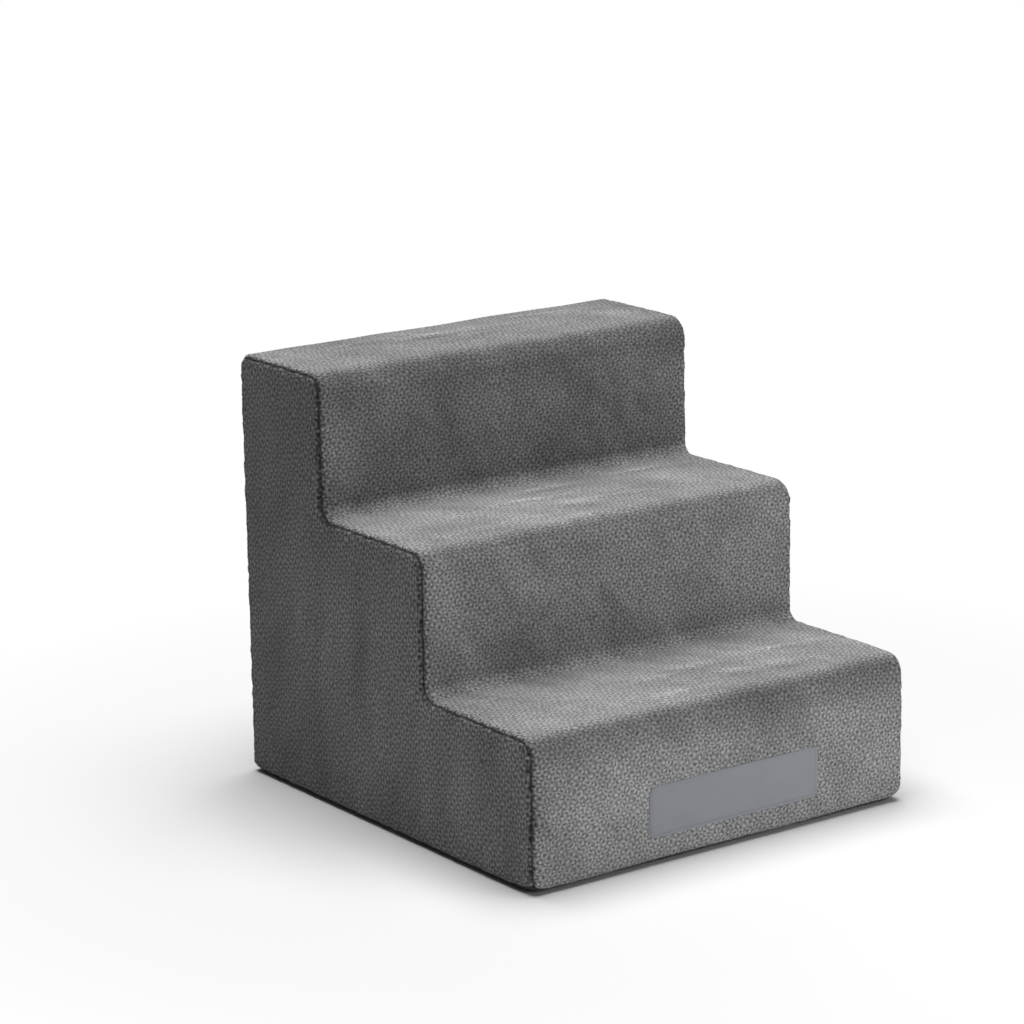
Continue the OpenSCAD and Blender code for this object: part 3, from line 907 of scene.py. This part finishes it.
class Nodes:
    """A short way to write a material's nodes."""

    def __init__(self, name):
        self.material = bpy.data.materials.new(name)
        self.material.use_nodes = True
        self.tree = self.material.node_tree
        self.tree.nodes.clear()
        self.out = self.add("OutputMaterial")
        self.shader = self.add("BsdfPrincipled")
        self.link(self.shader.outputs[0], self.out.inputs[0])

    def add(self, kind, **settings):
        node = self.tree.nodes.new("ShaderNode" + kind)
        for key, value in settings.items():
            setattr(node, key, value)
        return node

    def link(self, source, target):
        self.tree.links.new(source, target)

    def set(self, **values):
        for key, value in values.items():
            self.shader.inputs[key.replace("_", " ")].default_value = value

    def place(self, stretch=(1, 1, 1)):
        """Object coordinates, stretched."""
        coordinates = self.add("TexCoord")
        mapping = self.add("Mapping")
        mapping.inputs["Scale"].default_value = stretch
        self.link(coordinates.outputs["Object"], mapping.inputs["Vector"])
        return mapping.outputs[0]

    def noise(self, scale, detail=2.0, roughness=0.5, stretch=(1, 1, 1)):
        node = self.add("TexNoise")
        node.inputs["Scale"].default_value = scale
        node.inputs["Detail"].default_value = detail
        node.inputs["Roughness"].default_value = roughness
        self.link(self.place(stretch), node.inputs["Vector"])
        return node.outputs["Fac"]

    def ramp(self, value, *stops):
        node = self.add("ValToRGB")
        elements = node.color_ramp.elements
        while len(elements) < len(stops):
            elements.new(0.5)
        for element, (at, colour) in zip(elements, stops):
            element.position = at
            element.color = (*colour, 1) if hasattr(colour, "__len__") else (colour, colour, colour, 1)
        self.link(value, node.inputs["Fac"])
        return node.outputs["Color"]

    def maths(self, operation, *values):
        node = self.add("Math", operation=operation)
        for socket, value in zip(node.inputs, values):
            if hasattr(value, "is_linked"):
                self.link(value, socket)
            else:
                socket.default_value = value
        return node.outputs[0]

    def scale_colour(self, colour, amount):
        """Colour times a number that varies."""
        node = self.add("VectorMath", operation="SCALE")
        self.link(colour, node.inputs[0])
        self.link(amount, node.inputs["Scale"])
        return node.outputs[0]

    def bump(self, height, strength, distance):
        node = self.add("Bump")
        node.inputs["Strength"].default_value = strength
        node.inputs["Distance"].default_value = distance
        self.link(height, node.inputs["Height"])
        self.link(node.outputs[0], self.shader.inputs["Normal"])

    def colour(self, colour):
        self.link(colour, self.shader.inputs["Base Color"])

    def roughness(self, value):
        self.link(value, self.shader.inputs["Roughness"])

    def tufts(self):
        """The nubby pile, in the same pattern as the mesh's."""
        cloth = self.add("Attribute", attribute_name="cloth").outputs["Vector"]
        total = 3.0
        for angle, length in PILE_WAVES:
            along = self.add("VectorMath", operation="DOT_PRODUCT")
            self.link(cloth, along.inputs[0])
            wave = 2 * math.pi / length
            along.inputs[1].default_value = (wave * math.cos(angle), wave * math.sin(angle), 0)
            total = self.maths("ADD", self.maths("COSINE", along.outputs["Value"]), total)
        return self.maths("DIVIDE", total, 6.0)


def grey(value, tint=(1, 1, 1)):
    """A grey, or a tint of the same depth."""
    return tuple(value * t for t in tint)


def plush_material(name, valley, middle, crest):
    """Nubby plush: dark between the tufts as painted shade in their hollows, lighter on them, brushed in
    patches, with a soft sheen.
    """
    n = Nodes(name)
    tuft, fibre = n.tufts(), n.noise(1900, detail=3, roughness=0.65)
    curl, clump = n.noise(640), n.noise(210, detail=1)
    lift = n.maths("MULTIPLY_ADD", tuft, 0.85, 0.075)
    lift = n.maths("MULTIPLY_ADD", n.maths("SUBTRACT", curl, 0.5), 1.3, lift)
    lift = n.maths("MULTIPLY_ADD", n.maths("SUBTRACT", clump, 0.5), 0.5, lift)
    base = n.ramp(lift, (0.0, grey(valley)), (0.5, grey(middle)), (1.0, grey(crest)))
    tone = n.add("Attribute", attribute_name="tone").outputs["Fac"]
    fuzz = n.maths("MULTIPLY_ADD", fibre, 0.5, 0.75)
    n.colour(n.scale_colour(base, n.maths("MULTIPLY", tone, fuzz)))
    surface = n.maths("ADD", tuft, n.maths("MULTIPLY", curl, 0.6))
    n.bump(n.maths("ADD", n.maths("MULTIPLY", fibre, 0.4), surface), 0.5, 0.4 * MM)
    n.set(Roughness=0.95, Specular_IOR_Level=0.12, Sheen_Weight=0.18, Sheen_Roughness=0.5)
    return n.material


def woven_material(name, dark, light, pitch, sheen=0.15, directions=("X", "Z")):
    """A fine weave: two crossed sets of threads with slight unevenness."""
    n = Nodes(name)
    waves = []
    for direction in directions:
        wave = n.add("TexWave", wave_type="BANDS", bands_direction=direction)
        wave.inputs["Scale"].default_value = math.pi / 10 / pitch
        wave.inputs["Distortion"].default_value = 0.5
        n.link(n.place(), wave.inputs["Vector"])
        waves.append(wave.outputs["Fac"])
    weave = n.maths("MULTIPLY", *waves)
    fuzz, broad = n.noise(900, detail=3), n.noise(45, detail=2)
    mixed = n.maths("ADD", n.maths("MULTIPLY", weave, 0.5), n.maths("MULTIPLY", fuzz, 0.35))
    mixed = n.maths("MULTIPLY_ADD", broad, 0.35, mixed)
    n.colour(n.ramp(mixed, (0.15, dark), (0.85, light)))
    n.bump(n.maths("ADD", weave, n.maths("MULTIPLY", fuzz, 0.5)), 0.4, 0.2 * MM)
    n.set(Roughness=0.85, Specular_IOR_Level=0.25, Sheen_Weight=sheen)
    return n.material


def foam_material(name, tint, cell):
    """Open-cell foam: fine pores over a slightly uneven colour."""
    n = Nodes(name)
    pores = n.add("TexVoronoi", feature="F1")
    pores.inputs["Scale"].default_value = 1 / cell
    n.link(n.place(), pores.inputs["Vector"])
    depth = n.maths("MULTIPLY_ADD", n.noise(25), 0.3, pores.outputs["Distance"])
    n.colour(n.ramp(depth, (0.1, grey(0.95, tint)), (0.9, grey(0.6, tint))))
    n.bump(pores.outputs["Distance"], 0.5, 0.4 * MM)
    n.set(Roughness=0.95, Specular_IOR_Level=0.1)
    return n.material


def worn_material(name, scale, dark, light, smooth, rough, **settings):
    """A plain material with fine unevenness in its colour, shine and surface."""
    n = Nodes(name)
    wear = n.noise(scale, detail=3)
    n.colour(n.ramp(wear, (0.25, dark), (0.8, light)))
    n.roughness(n.maths("MULTIPLY_ADD", wear, rough - smooth, smooth))
    n.bump(wear, 0.25, 0.08 * MM)
    n.set(**settings)
    return n.material


def metal_material():
    """Satin nickel with fine brushing, its colour varying with the brushing and in broad patches, and its
    dullness with the brushing.
    """
    n = Nodes("satin_nickel")
    brush = n.noise(700, detail=4, roughness=0.6, stretch=(1, 1, 0.08))
    stain = n.noise(160)
    n.colour(n.ramp(n.maths("MULTIPLY_ADD", stain, 0.5, n.maths("MULTIPLY", brush, 0.5)),
                    (0.3, (0.42, 0.42, 0.43)), (0.7, (0.60, 0.60, 0.61))))
    n.roughness(n.maths("MULTIPLY_ADD", brush, 0.2, 0.22))
    n.bump(brush, 0.15, 0.05 * MM)
    n.set(Metallic=1.0)
    return n.material


PLUSH = plush_material("grey_plush", 0.115, 0.25, 0.44)
# The sides' plush: a darker variant of the same plush, made darker still as painted shade
PLUSH_SIDE_PAINTED_SHADE = plush_material("grey_plush_side_painted_shade", 0.065, 0.145, 0.27)
THREAD = worn_material("seam_thread", 1500, 0.020, 0.060, 0.6, 0.8, Specular_IOR_Level=0.3, Sheen_Weight=0.2)
LABEL = woven_material("label_weave", (0.265, 0.28, 0.30), (0.335, 0.35, 0.375), 0.5 * MM)
LABEL_THREAD = worn_material("label_thread", 1500, (0.25, 0.265, 0.285), (0.33, 0.345, 0.37), 0.6, 0.8)
TAPE = woven_material("zipper_tape_weave", grey(0.016), grey(0.050), 0.7 * MM)
GRIP = woven_material("grip_weave", grey(0.016), grey(0.045), 1.1 * MM, directions=("X", "Y"))
NYLON = worn_material("nylon_coil", 400, 0.030, 0.060, 0.34, 0.5, Specular_IOR_Level=0.5)
RUBBER = worn_material("rubber_dots", 500, 0.018, 0.034, 0.45, 0.65, Specular_IOR_Level=0.4)
NICKEL = metal_material()
FOAM_FIRM = foam_material("firm_foam", (0.93, 0.89, 0.74), 1.1 * MM)
FOAM_SOFT = foam_material("soft_foam", (0.97, 0.94, 0.86), 1.6 * MM)


# ---- The cover ----

cover = [
    cover_strip("step_cover", S_FRONT, S_BACK, PLUSH, "plush", ["step_panel"], sheet_relief),
    side_panel("left_side_cover", -1, PLUSH_SIDE_PAINTED_SHADE, "plush_side", ["left_side_panel"]),
    side_panel("right_side_cover", 1, PLUSH_SIDE_PAINTED_SHADE, "plush_side", ["right_side_panel"]),
    back_sheet("back_border_cover", border_loop(), PLUSH, "plush", ["back_border"], 101),
    back_sheet("back_flap_cover", flap_loop(), PLUSH, "plush", ["back_flap"], 121),
    cover_strip("base_cover", S_UNDER, S_ROUND, GRIP, "grip_fabric", ["base_panel"], base_relief),
    label_patch("front_patch", ["front_label"]),
]
seam_stitches("left_seam_stitches", -1, ["left_seam_thread"])
seam_stitches("right_seam_stitches", 1, ["right_seam_thread"])
hem_stitches("border_hem_stitches", SLOT_HALF + HEM_STITCH)
hem_stitches("flap_hem_stitches", -SLOT_HALF - HEM_STITCH)
label_stitches("patch_stitches")
grip_dots("grip_dots")

# ---- Foam ----

for k, node in enumerate(("foam_base_slab", "foam_middle_slab", "foam_top_slab")):
    foam_block(node.replace("_slab", "_block"), node, SLAB_R, FOAM_FIRM, "foam_firm", 131 + k)
for k, node in enumerate(PADS):
    foam_block(node.replace("_pad", "_foam"), node, PAD_R, FOAM_SOFT, "foam_soft", 141 + k)

# ---- Zipper ----

for name, side in (("outer", 1), ("inner", -1)):
    tape = zipper_tape("woven_tape_" + name, side, ["zipper_tape_" + name])
    zipper_coil("wound_coil_" + name, side, ["zipper_coil_" + name])
for node in ("zipper_slider", "zipper_pull", "zipper_start_stop", "zipper_end_stops"):
    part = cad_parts[node]
    part.data.materials.clear()
    part.data.materials.append(NICKEL)
    bevel = part.modifiers.new("softened", "BEVEL")
    bevel.width, bevel.segments, bevel.angle_limit = 0.12 * MM, 2, math.radians(35)
    bevel.limit_method = "ANGLE"


# ---- Studio ----

def place_camera():
    """The camera from which the stairs are shown from their front left."""
    back = Vector((math.sin(CAMERA_TURN) * math.cos(CAMERA_RISE),
                   -math.cos(CAMERA_TURN) * math.cos(CAMERA_RISE), math.sin(CAMERA_RISE)))
    right = Vector((0, 0, 1)).cross(back).normalized()
    turn = Matrix((right, back.cross(right), back)).transposed() @ Matrix.Rotation(CAMERA_ROLL, 3, "Z")
    data = bpy.data.cameras.new("camera")
    data.lens, data.sensor_width = CAMERA_LENS, 36
    camera = bpy.data.objects.new("camera", data)
    camera.matrix_world = Matrix.Translation(CAMERA_AIM + back * CAMERA_GAP) @ turn.to_4x4()
    bpy.context.scene.collection.objects.link(camera)
    bpy.context.scene.camera = camera


def lamp(name, place, aim, size, power):
    """A soft square area lamp that faces aim."""
    data = bpy.data.lights.new(name, "AREA")
    data.shape, data.size, data.energy = "SQUARE", size, power
    obj = bpy.data.objects.new(name, data)
    obj.location = place
    obj.rotation_euler = (Vector(aim) - Vector(place)).to_track_quat("-Z", "Y").to_euler()
    obj.visible_camera = False
    bpy.context.scene.collection.objects.link(obj)


def white_world(strength):
    """Even dim light, and plain white where the camera sees past the floor."""
    world = bpy.data.worlds.new("studio")
    world.use_nodes = True
    nodes, links = world.node_tree.nodes, world.node_tree.links
    nodes.clear()
    out, mix = nodes.new("ShaderNodeOutputWorld"), nodes.new("ShaderNodeMixShader")
    dim, bright = nodes.new("ShaderNodeBackground"), nodes.new("ShaderNodeBackground")
    dim.inputs["Strength"].default_value = strength
    for background in (dim, bright):
        background.inputs["Color"].default_value = (1, 1, 1, 1)
    links.new(nodes.new("ShaderNodeLightPath").outputs["Is Camera Ray"], mix.inputs[0])
    links.new(dim.outputs[0], mix.inputs[1])
    links.new(bright.outputs[0], mix.inputs[2])
    links.new(mix.outputs[0], out.inputs[0])
    bpy.context.scene.world = world


def pale_floor():
    """A white floor that fades into the white background a little way from the object."""
    n = Nodes("studio_floor")
    n.set(Base_Color=(0.92, 0.92, 0.92, 1), Roughness=0.9, Specular_IOR_Level=0.1)
    glow = n.add("Emission")
    gap = n.add("VectorMath", operation="LENGTH")
    n.link(n.add("TexCoord").outputs["Object"], gap.inputs[0])
    far = n.ramp(n.maths("MULTIPLY", gap.outputs["Value"], 0.5), (FLOOR_NEAR / 2, 0.0), (FLOOR_FAR / 2, 1.0))
    mix = n.add("MixShader")
    n.link(n.maths("MULTIPLY", far, n.add("LightPath").outputs["Is Camera Ray"]), mix.inputs[0])
    n.link(n.shader.outputs[0], mix.inputs[1])
    n.link(glow.outputs[0], mix.inputs[2])
    n.link(mix.outputs[0], n.out.inputs[0])
    mesh = bpy.data.meshes.new("studio_floor")
    corners = [(x * FLOOR_HALF, y * FLOOR_HALF, 0) for x, y in ((-1, -1), (1, -1), (1, 1), (-1, 1))]
    mesh.from_pydata(corners, [], [(0, 1, 2, 3)])
    mesh.materials.append(n.material)
    floor = bpy.data.objects.new("studio_floor", mesh)
    bpy.context.scene.collection.objects.link(floor)


place_camera()
white_world(strength=0.05)
pale_floor()
lamp("overhead", place=(0.05, 0.15, 2.6), aim=(0.02, 0.05, 0.2), size=2.2, power=80)
lamp("front_fill", place=(0.3, -0.95, 0.25), aim=(0, -0.1, 0.1), size=0.4, power=1.8)

bpy.context.scene.view_settings.view_transform = "Standard"
